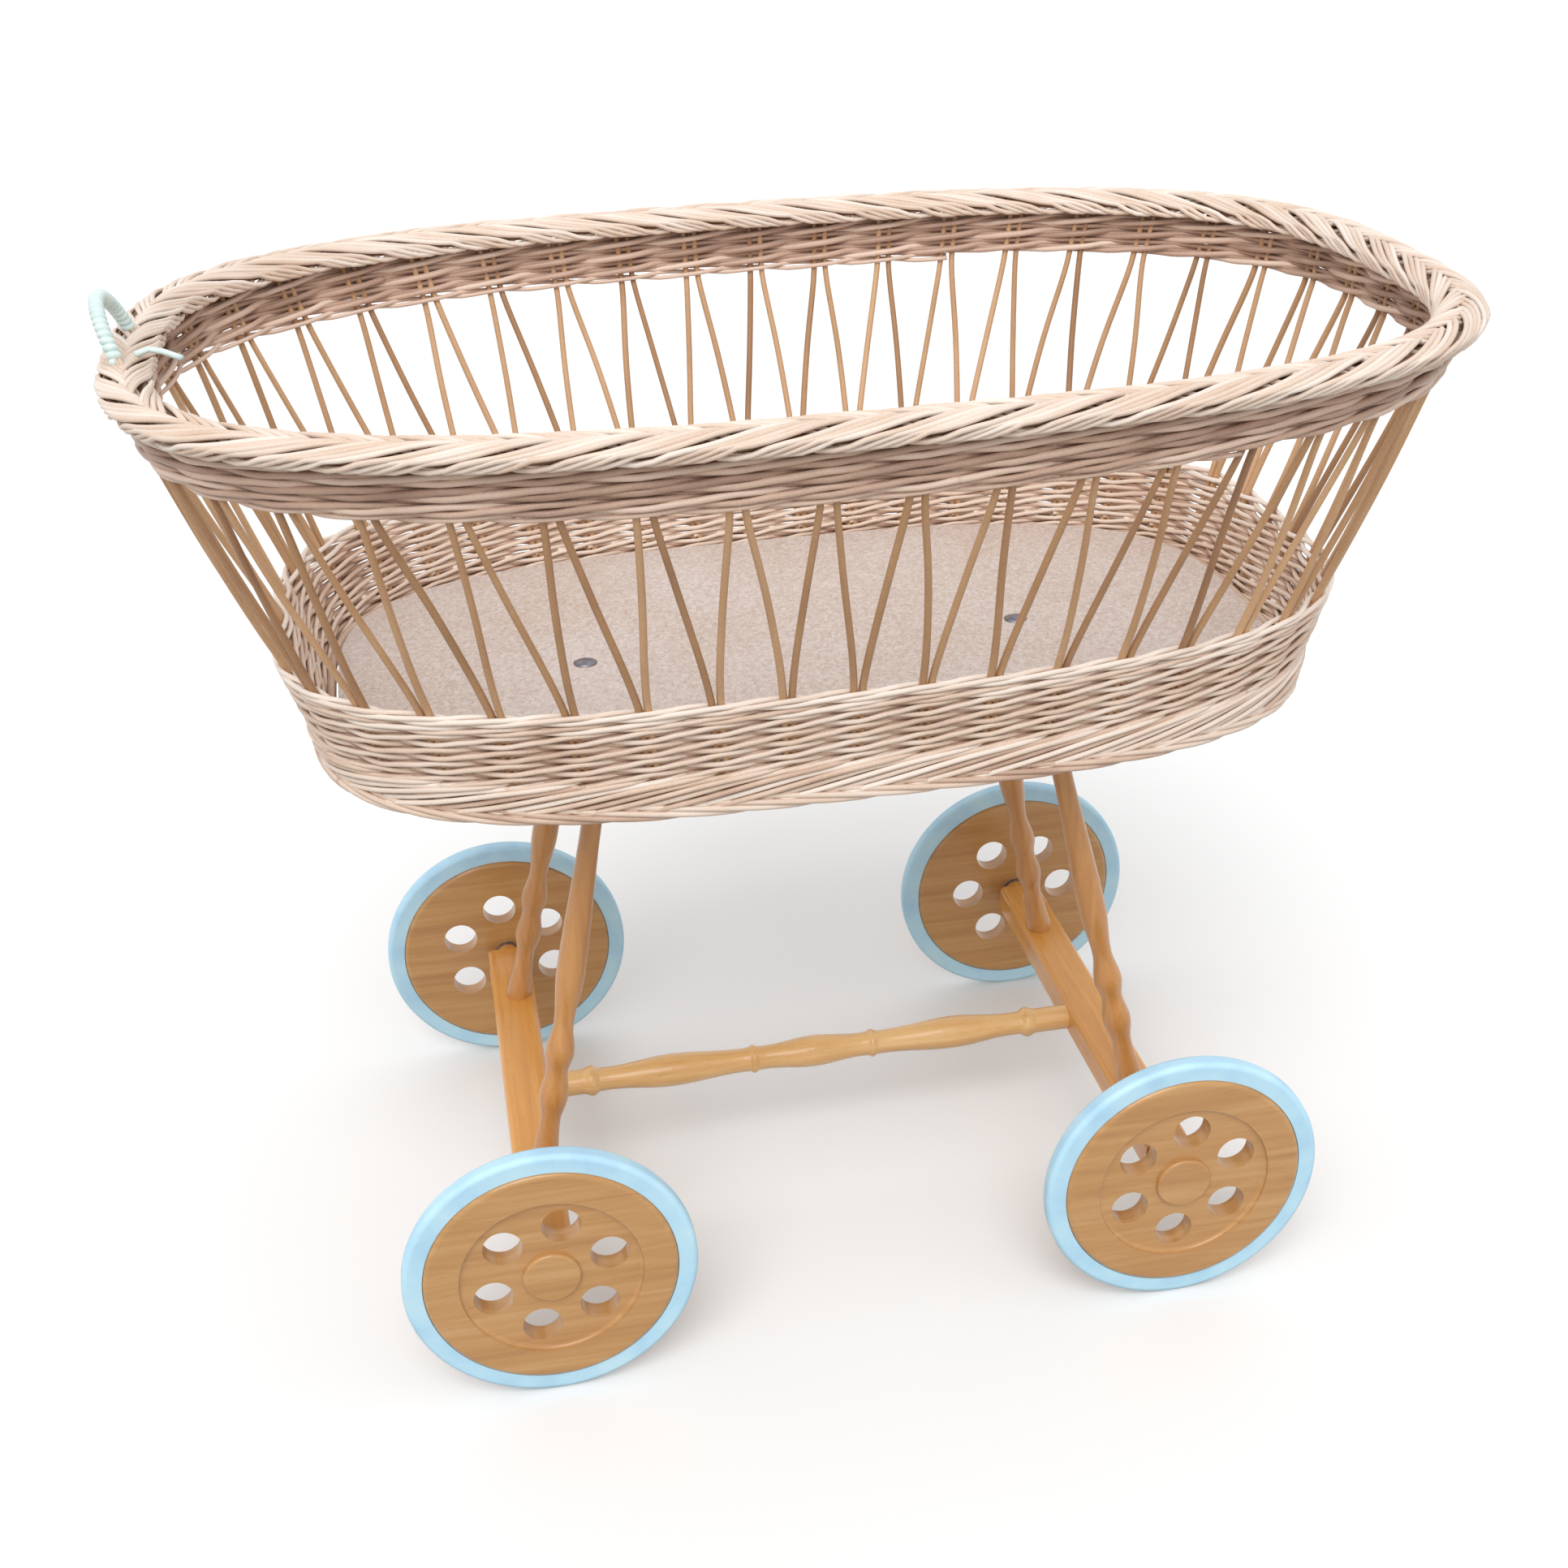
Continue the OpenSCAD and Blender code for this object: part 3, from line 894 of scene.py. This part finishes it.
@dataclass
class WaleBand:
    """A band of wale: rods woven in and out round the pairs of stakes.

    Stand is where the stakes are, as a share of a pair. Fillers are heights in millimetres.
    """

    name: str
    wall: Wall
    finish: bpy.types.Material
    node: str
    slot: str
    rounds: tuple[Round, ...]
    stand: float
    stake_radius: float
    fillers: tuple[float, ...]
    steps: int = 8
    seed: int = SEED
    lift: float = 0.4 * MM
    shove: float = 0.3 * MM

    def weaver(
        self, woven: Round, first: float, start: float, laps: float, chance: random.Random
    ) -> Rod:
        """Builds one weaver.

        Args:
            woven: The round.
            first: Which of the round's rods this is, counted in pairs.
            start: The pair where it starts.
            laps: How many laps it runs.
            chance: The source of its small irregularities.

        Returns:
            The rod.
        """
        closed = woven.stretch is None
        count = round(laps * self.wall.pairs * self.steps)
        wobble = [chance.uniform(-1, 1) for _ in range(count // self.steps + 2)]
        if closed:
            wobble[count // self.steps] = wobble[0]
        out = self.stake_radius + woven.radius * 0.95
        path = []
        for i in range(count):
            pitch = start + i / self.steps
            place = pitch - self.stand + first
            k = i // self.steps
            share = soft_step(i / self.steps - k)
            drift = wobble[k] * (1 - share) + wobble[k + 1] * share
            path.append(self.wall.at(
                pitch,
                woven.level + woven.style.rise(place) * woven.rise + drift * self.lift,
                woven.style.reach(place) * out + drift * self.shove,
            ))
        radius = woven.radius * chance.uniform(0.94, 1.05)
        return Rod(path, radius, closed=closed, tone=chance.uniform(*woven.tone))

    def build(self) -> bpy.types.Object:
        """Builds the band in place of its CAD node.

        Returns:
            The piece.
        """
        chance = random.Random(self.seed)
        rods = []
        for woven in self.rounds:
            cycle = woven.style.cycle
            if woven.stretch is None:
                loops = math.gcd(self.wall.pairs, cycle)
                rods += [self.weaver(woven, j, 0.0, cycle / loops, chance) for j in range(loops)]
            else:
                first, last = woven.stretch
                laps = (last - first) / self.wall.pairs
                rods += [self.weaver(woven, j, first, laps, chance) for j in range(cycle)]
        thin = self.stake_radius - 0.2 * MM
        # Fillers between the rows: their dark tone is painted shade in the gaps.
        rods += [self.wall.filler(z * MM, 0.0, thin, SOFT_GAP_SHADE_TONE) for z in self.fillers]
        piece = rods_piece(self.name, rods, self.finish)
        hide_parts(self.node)
        return piece


@dataclass
class FootBorder:
    """The foot: two rods a pair swept down over three pairs, above a layer laid the other way.

    Fillers are heights above the foot and distances outside the wall, in millimetres.
    """

    wall: Wall
    finish: bpy.types.Material
    drop: float = 25 * MM
    reach: float = 3.4
    radius: float = 1.75 * MM
    swept: int = 2
    fillers: tuple[tuple[float, float], ...] = ((6, 1), (12, 2), (18, 2))
    filler_radius: float = 2.6 * MM

    def swept_rod(self, pair: int, number: int, chance: random.Random) -> Rod:
        """Builds one rod of the upper layer, from behind its stakes down to the foot's edge.

        Args:
            pair: The pair of stakes that the set starts behind.
            number: The rod's number in its set: a higher one lies lower and further out.
            chance: The source of its small irregularities.

        Returns:
            The rod.
        """
        start = pair + 0.72 + 0.44 * number
        z = self.wall.foot_z + 4 * MM
        over = 1.6 * MM * number
        knots = (
            (start + 0.4, z + self.drop + 1 * MM, -3 * MM),
            (start, z + self.drop - 1 * MM, 3 * MM + over),
            (start - self.reach * 0.3, z + self.drop * 0.73, 5 * MM + over),
            (start - self.reach * 0.62, z + self.drop * 0.36, 6 * MM + over),
            (start - self.reach * 0.88, z + self.drop * 0.08, 5 * MM + over),
            (start - self.reach * 1.08, z - 1 * MM, 0 * MM),
        )
        jitter = chance.uniform(-0.4, 0.4) * MM
        path = [self.wall.at(p, h, out + jitter) for p, h, out in through(knots, 4)]
        return Rod(path, self.radius * chance.uniform(0.92, 1.06), tone=chance.uniform(0.15, 1.0))

    def laid_rod(self, pair: int, chance: random.Random) -> Rod:
        """Builds one rod of the lower layer, from under the swept rods round to under the board.

        Args:
            pair: The pair of stakes where the rod starts.
            chance: The source of its small irregularities.

        Returns:
            The rod.
        """
        z = self.wall.foot_z
        knots = (
            (pair - 0.6, z + 13 * MM, 1 * MM),
            (pair, z + 11 * MM, 5 * MM),
            (pair + 1.1, z + 7.2 * MM, 8.6 * MM),
            (pair + 2.2, z + 3.4 * MM, 8.6 * MM),
            (pair + 2.9, z + 2.2 * MM, 3 * MM),
            (pair + 3.5, z + 3 * MM, -13 * MM),
        )
        path = [self.wall.at(p, h, out) for p, h, out in through(knots, 4)]
        return Rod(path, self.radius * 1.12, tone=chance.uniform(0.15, 0.7))

    def build(self) -> bpy.types.Object:
        """Builds the border in place of its CAD node.

        Returns:
            The piece.
        """
        chance = random.Random(SEED + 1)
        pairs = range(self.wall.pairs)
        rods = [self.swept_rod(i, k, chance) for i in pairs for k in range(self.swept)]
        rods += [self.laid_rod(i, chance) for i in pairs]
        foot_z = self.wall.foot_z
        # Fillers behind the swept rods, dark as painted shade in the gaps between them.
        rods += [
            self.wall.filler(foot_z + height * MM, out * MM, self.filler_radius)
            for height, out in self.fillers
        ]
        # One more closes the joint between the weave and the board's edge, darker as painted shade in
        # that joint.
        rods.append(self.wall.filler(foot_z + 19 * MM, -8.5 * MM, 3.2 * MM, BOARD_GAP_SHADE_TONE))
        piece = rods_piece("foot_border_rods", rods, self.finish)
        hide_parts("foot_border")
        return piece


@dataclass
class TopBorder:
    """The border: a flat plait of five strands, each of four rods side by side.

    Over is the share of a crossing that a strand spends above the others. Fillers are distances
    outside the wall in millimetres.
    """

    wall: Wall
    finish: bpy.types.Material
    strands: int = 5
    in_strand: int = 4
    spread: float = 0.2
    over: float = 0.64
    radius: float = 1.8 * MM
    steps: int = 6
    shove: float = 0.5 * MM
    fillers: tuple[float, ...] = (-9.5, -3.2, 3.2, 9.5)
    filler_radius: float = 3.6 * MM

    def rise(self, crossing: float) -> float:
        """Gives a strand's height as it crosses from one edge of the plait to the other.

        Args:
            crossing: The share of the crossing, from 0 at the edge it leaves to 1 at the other edge.

        Returns:
            The height, from 1 over the other strands to -1 under them.
        """
        if crossing < self.over:
            return math.sin(math.pi * (crossing / self.over) ** 1.5)
        return -math.sin(math.pi * (crossing - self.over) / (1 - self.over))

    def rod(self, strand: int, number: int, laps: int, chance: random.Random) -> Rod:
        """Builds one rod of a strand.

        Args:
            strand: The strand's number.
            number: The rod's number in its strand.
            laps: After how many laps the strand meets its own start.
            chance: The source of its small irregularities.

        Returns:
            The rod.
        """
        half_w = self.wall.rim_w / 2 - self.radius
        half_t = self.wall.rim_t / 2 - self.radius
        wobble = [chance.uniform(-1, 1) for _ in range(laps * self.wall.pairs)]
        path = []
        for i in range(laps * self.wall.pairs * self.steps):
            pitch = i / self.steps
            turn = (pitch + strand + self.spread * number) / self.strands % 1.0
            k = int(pitch)
            share = soft_step(pitch - k)
            drift = (wobble[k] * (1 - share) + wobble[(k + 1) % len(wobble)] * share) * self.shove
            path.append(self.wall.at(
                pitch,
                self.wall.rim_z + half_t * self.rise(turn * 2 % 1.0) + drift,
                half_w * math.cos(2 * math.pi * turn) + drift,
            ))
        radius = self.radius * chance.uniform(0.94, 1.02)
        return Rod(path, radius, closed=True, tone=chance.uniform(0.45, 0.95))

    def build(self) -> bpy.types.Object:
        """Builds the border in place of its CAD node.

        Returns:
            The piece.
        """
        chance = random.Random(SEED + 2)
        loops = math.gcd(self.wall.pairs, self.strands)
        laps = self.strands // loops
        rods = [self.rod(j, k, laps, chance) for j in range(loops) for k in range(self.in_strand)]
        middle = self.wall.rim_z - 1 * MM
        # Fillers inside the plait, dark as painted shade in the gaps between strands.
        rods += [self.wall.filler(middle, out * MM, self.filler_radius) for out in self.fillers]
        piece = rods_piece("top_border_rods", rods, self.finish)
        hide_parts("top_border")
        return piece


@dataclass
class Handle:
    """The arched handle at the rear: a few bundled rods bound with a pale strip, and its loose end.

    The loose end's line is given in millimetres, in X and Y of the part and in height above it.
    """

    core_finish: bpy.types.Material
    strip_finish: bpy.types.Material
    lean: float = math.radians(20)
    core_r: float = 3.2 * MM
    core_rods: int = 5
    core_rod_radius: float = 1.4 * MM
    core_rod_off: float = 1.9 * MM
    core_steps: int = 40
    bare: float = 0.24
    strip_pitch: float = 4.3 * MM
    strip_radius: float = 2.5 * MM
    turn_steps: int = 14
    tail_lift: float = 8 * MM
    tail_radius: float = 1.9 * MM
    tail: tuple[tuple[float, float, float], ...] = (
        (-410, -40, 1), (-402, -36, 2.5), (-394, -41, 2), (-382, -52, 0),
    )

    def __post_init__(self) -> None:
        """Reads the arch from its CAD nodes."""
        low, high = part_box("handle_core")
        self.arch_r = (high.y - low.y) / 2 - self.core_r
        self.base = Vector((
            high.x - self.core_r * math.cos(self.lean),
            (low.y + high.y) / 2,
            high.z - self.core_r - self.arch_r * math.cos(self.lean),
        ))
        crown_z = self.base.z + self.arch_r * math.cos(self.lean)
        self.bound_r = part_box("handle_binding")[1].z - crown_z

    def spot(self, angle: float, off: float = 0.0, turn: float = 0.0) -> Vector:
        """Gives a point on or round the arch.

        Args:
            angle: How far along the arch, from 0 at its left foot to pi at its right foot.
            off: The distance from the arch's middle line.
            turn: The angle round that line.

        Returns:
            The point.
        """
        up = Vector((-math.sin(self.lean), 0, math.cos(self.lean)))
        side = Vector((0, 1, 0))
        normal = side.cross(up)
        ray = side * math.cos(angle) + up * math.sin(angle)
        return self.base + ray * (self.arch_r + off * math.cos(turn)) + normal * (off * math.sin(turn))

    def build(self) -> list[bpy.types.Object]:
        """Builds the core and the binding in place of their CAD nodes.

        Returns:
            The core and the binding.
        """
        chance = random.Random(SEED + 3)
        core = []
        for k in range(self.core_rods):
            turn = 2 * math.pi * k / self.core_rods
            path = [
                self.spot(math.pi * i / self.core_steps, self.core_rod_off, turn)
                for i in range(self.core_steps + 1)
            ]
            core.append(Rod(path, self.core_rod_radius, tone=chance.uniform(0.3, 0.9)))
        first, last = self.bare, math.pi - self.bare
        turns = round((last - first) * self.arch_r / self.strip_pitch)
        count = turns * self.turn_steps
        off = self.bound_r - self.strip_radius
        wrap = [
            self.spot(first + (last - first) * i / count, off, 2 * math.pi * turns * i / count)
            for i in range(count + 1)
        ]
        core_piece = rods_piece("handle_core_rods", core, self.core_finish, sides=8)
        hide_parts("handle_core")
        height = self.base.z + self.tail_lift
        tail = [Vector((x * MM, y * MM, height + z * MM)) for x, y, z in self.tail]
        strips = [Rod(wrap, self.strip_radius), Rod(tail, self.tail_radius)]
        binding = rods_piece("handle_strip", strips, self.strip_finish, sides=10)
        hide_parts("handle_binding")
        return [core_piece, binding]


# --- CAD nodes ---------------------------------------------------------------------------------


@dataclass
class Joinery:
    """The wooden stand, the board, the wheels and their fasteners, which keep their CAD shapes.

    Finishes are looked up by the ending of a node's name.
    """

    finishes: dict[str, bpy.types.Material]

    def dress(self) -> list[bpy.types.Object]:
        """Gives each CAD node that stays in view its finish.

        Returns:
            The nodes that got one.
        """
        dressed = []
        for name, node in sorted(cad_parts.items()):
            finish = next((f for ending, f in self.finishes.items() if name.endswith(ending)), None)
            if finish is None:
                continue
            node.data.materials.clear()
            node.data.materials.append(finish)
            dressed.append(node)
        return dressed


# --- Studio ------------------------------------------------------------------------------------


@dataclass
class Studio:
    """A white floor, broad daylight in a white surround, and the camera.

    Heading turns the camera from +Y towards +X, tilt looks down and roll turns it about its view.
    The ground colour is the surround's below the horizon. It stands in for what the floor would
    bounce up, since the floor itself bounces no light.
    """

    camera_place: tuple[float, float, float] = (-0.2464, -1.3075, 1.0320)
    heading: float = math.radians(10.34)
    tilt: float = math.radians(27.37)
    roll: float = math.radians(-1.68)
    focal: float = 47.2
    sensor: float = 36.0
    shift: tuple[float, float] = (-0.0068, -0.0056)
    clip_start: float = 0.01
    ground: str = "A09688"
    surround: str = "FFFFFF"
    surround_strength: float = 0.86
    horizon: tuple[float, float] = (-0.25, -0.02)
    daylight_strength: float = 1.5
    daylight_angle: float = math.radians(40)
    daylight_turn: tuple[float, float, float] = (math.radians(38), math.radians(-15), 0)
    floor_half: float = 60.0

    def aim(self) -> None:
        """Places the camera and makes it the scene's own."""
        lens = bpy.data.cameras.new("camera")
        lens.lens = self.focal
        lens.sensor_width = self.sensor
        lens.shift_x, lens.shift_y = self.shift
        lens.clip_start = self.clip_start
        camera = bpy.data.objects.new("camera", lens)
        bpy.context.scene.collection.objects.link(camera)
        forward = Vector((
            math.sin(self.heading) * math.cos(self.tilt),
            math.cos(self.heading) * math.cos(self.tilt),
            -math.sin(self.tilt),
        ))
        level = Vector((math.cos(self.heading), -math.sin(self.heading), 0))
        over = level.cross(forward)
        right = level * math.cos(self.roll) + over * math.sin(self.roll)
        up = over * math.cos(self.roll) - level * math.sin(self.roll)
        turn = Matrix((right, up, -forward)).transposed()
        camera.matrix_world = Matrix.Translation(Vector(self.camera_place)) @ turn.to_4x4()
        bpy.context.scene.camera = camera

    def floor(self, finish: bpy.types.Material) -> bpy.types.Object:
        """Lays the floor under the wheels.

        Args:
            finish: The floor's finish.

        Returns:
            The floor.
        """
        mesh = bpy.data.meshes.new("studio_floor")
        ground = bmesh.new()
        bmesh.ops.create_grid(ground, x_segments=1, y_segments=1, size=self.floor_half)
        ground.to_mesh(mesh)
        ground.free()
        floor = mesh_object("studio_floor", mesh, finish)
        floor.visible_diffuse = False
        return floor

    def light(self) -> None:
        """Lights the set with a white surround and broad daylight from above."""
        sun = bpy.data.lights.new("soft_daylight", "SUN")
        sun.energy = self.daylight_strength
        sun.angle = self.daylight_angle
        daylight = bpy.data.objects.new("soft_daylight", sun)
        bpy.context.scene.collection.objects.link(daylight)
        daylight.rotation_euler = self.daylight_turn
        world = bpy.data.worlds.new("studio_air")
        bpy.context.scene.world = world
        world.use_nodes = True
        tree = world.node_tree
        direction = add_node(tree, "TexCoord", out="Generated")
        height = add_node(tree, "SeparateXYZ", {0: direction}, 2)
        low, high = self.horizon
        sky = add_node(tree, "MapRange", {0: height, 1: low, 2: high})
        colour = add_node(tree, "ValToRGB", {0: sky}, stops=((0.0, self.ground), (1.0, self.surround)))
        wire(tree, tree.nodes["Background"], {0: colour, 1: self.surround_strength})
        bpy.context.scene.view_settings.view_transform = "Standard"


# --- Whole object ------------------------------------------------------------------------------


def report(pieces: Sequence[bpy.types.Object]) -> None:
    """Puts new pieces on the frame body and logs each.

    Args:
        pieces: The pieces.
    """
    for piece in pieces:
        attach(piece, FRAME_BODY)
        LOG.info("%s: %d faces", piece.name, len(piece.data.polygons))


def main() -> None:
    """Builds the studio, the finishes, the wicker and the joinery, in that order, and logs them."""
    logging.basicConfig(level=logging.INFO, format="%(name)s: %(message)s")
    studio = Studio()
    studio.aim()
    studio.light()
    studio.floor(Backdrop().build())
    pale = VarnishedWillow("varnished_willow_pale", "F1E3D7", "DEC5B1", "AE8872").build()
    # A darker copy of the pale willow for the upper weave: painted shade under the overhanging top
    # border.
    shaded = VarnishedWillow("varnished_willow_painted_shade", "EBD2C0", "CFAF9B", "A07F6C").build()
    brown = VarnishedWillow("varnished_willow_steamed", "D2AA82", "B68C64", "90684A").build()
    steel = ZincSteel().build()
    nylon = SmoothPlastic("moulded_nylon", "EDEDE8", "E0E0DA").build()
    strip = SmoothPlastic("drawn_strip_pale_mint", "E4F4F2", "D2E8E6", 0.34).build()
    upright = LacqueredBeech("lacquered_beech_turned_legs", GrainAlong.Z).build()
    # A paler, more orange copy of the beech for the bars, top rails and spacers: painted light on
    # their lit tops.
    cross = LacqueredBeech(
        "lacquered_beech_bars_painted_light", GrainAlong.Y, "E8A853", "DF9C49", "D48E3D"
    ).build()
    # A paler copy of the beech for the stretcher: painted highlight along it.
    lengthwise = LacqueredBeech(
        "lacquered_beech_stretcher_painted_light", GrainAlong.X, "EFC488", "E6B678", "DAA663"
    ).build()
    disc = LacqueredBeech(
        "lacquered_beech_discs", GrainAlong.X, "CA9C66", "C08F55", "B38049"
    ).build()
    wall = Wall()
    report(Stakes(wall, brown).build())
    lower = WaleBand(
        "lower_weave_rods", wall, pale, "lower_weave", "willow_pale",
        (
            *(
                Round(Wale.FOUR_ROD, z * MM, 1.72 * MM, 3.4 * MM)
                for z in (449.2, 459.5, 469.8, 480, 490.2)
            ),
            Round(Wale.THREE_ROD, 498 * MM, 1.75 * MM, 1.8 * MM),
            Round(Wale.THREE_ROD, 504.6 * MM, 1.75 * MM, 1.8 * MM, tone=(0.6, 1.0)),
        ),
        stand=0.5, stake_radius=2.4 * MM,
        fillers=(449.2, 454.3, 459.5, 464.6, 469.8, 474.9, 480, 485.1, 490.2, 495.3),
    )
    upper = WaleBand(
        "upper_weave_rods", wall, shaded, "upper_weave", "willow_brown",
        (
            Round(Wale.PAIRING, 650 * MM, 1.6 * MM, 1.7 * MM, (8, 38)),
            Round(Wale.THREE_ROD, 656.4 * MM, 2.1 * MM, 2.6 * MM, tone=(0.0, 1.0)),
            Round(Wale.THREE_ROD, 666 * MM, 2.4 * MM, 2.4 * MM, tone=(0.0, 0.6)),
            Round(Wale.THREE_ROD, 675.4 * MM, 2.1 * MM, 2.6 * MM, tone=(0.0, 1.0)),
        ),
        stand=0.0, stake_radius=2.1 * MM,
        fillers=(656.4, 661, 666, 670.8, 675.4, 680), seed=SEED + 4,
    )
    report([
        lower.build(), upper.build(), FootBorder(wall, pale).build(), TopBorder(wall, pale).build(),
    ])
    report(Handle(pale, strip).build())
    dressed = Joinery({
        "base_board": ParticleBoard().build(),
        "_leg": upright,
        "_crossbar": cross,
        "_top_rail": cross,
        "stretcher": lengthwise,
        "_spacer": cross,
        "_disc": disc,
        "_hub_cap": disc,
        "_tyre": PaleRubber().build(),
        "_bush": nylon,
        "_axle_bolt": steel,
        "board_bolts": steel,
        "board_washers": steel,
        "board_nuts": steel,
        "axle_washers": steel,
    }).dress()
    LOG.info("dressed %d CAD nodes", len(dressed))


if __name__ == "__main__":
    main()
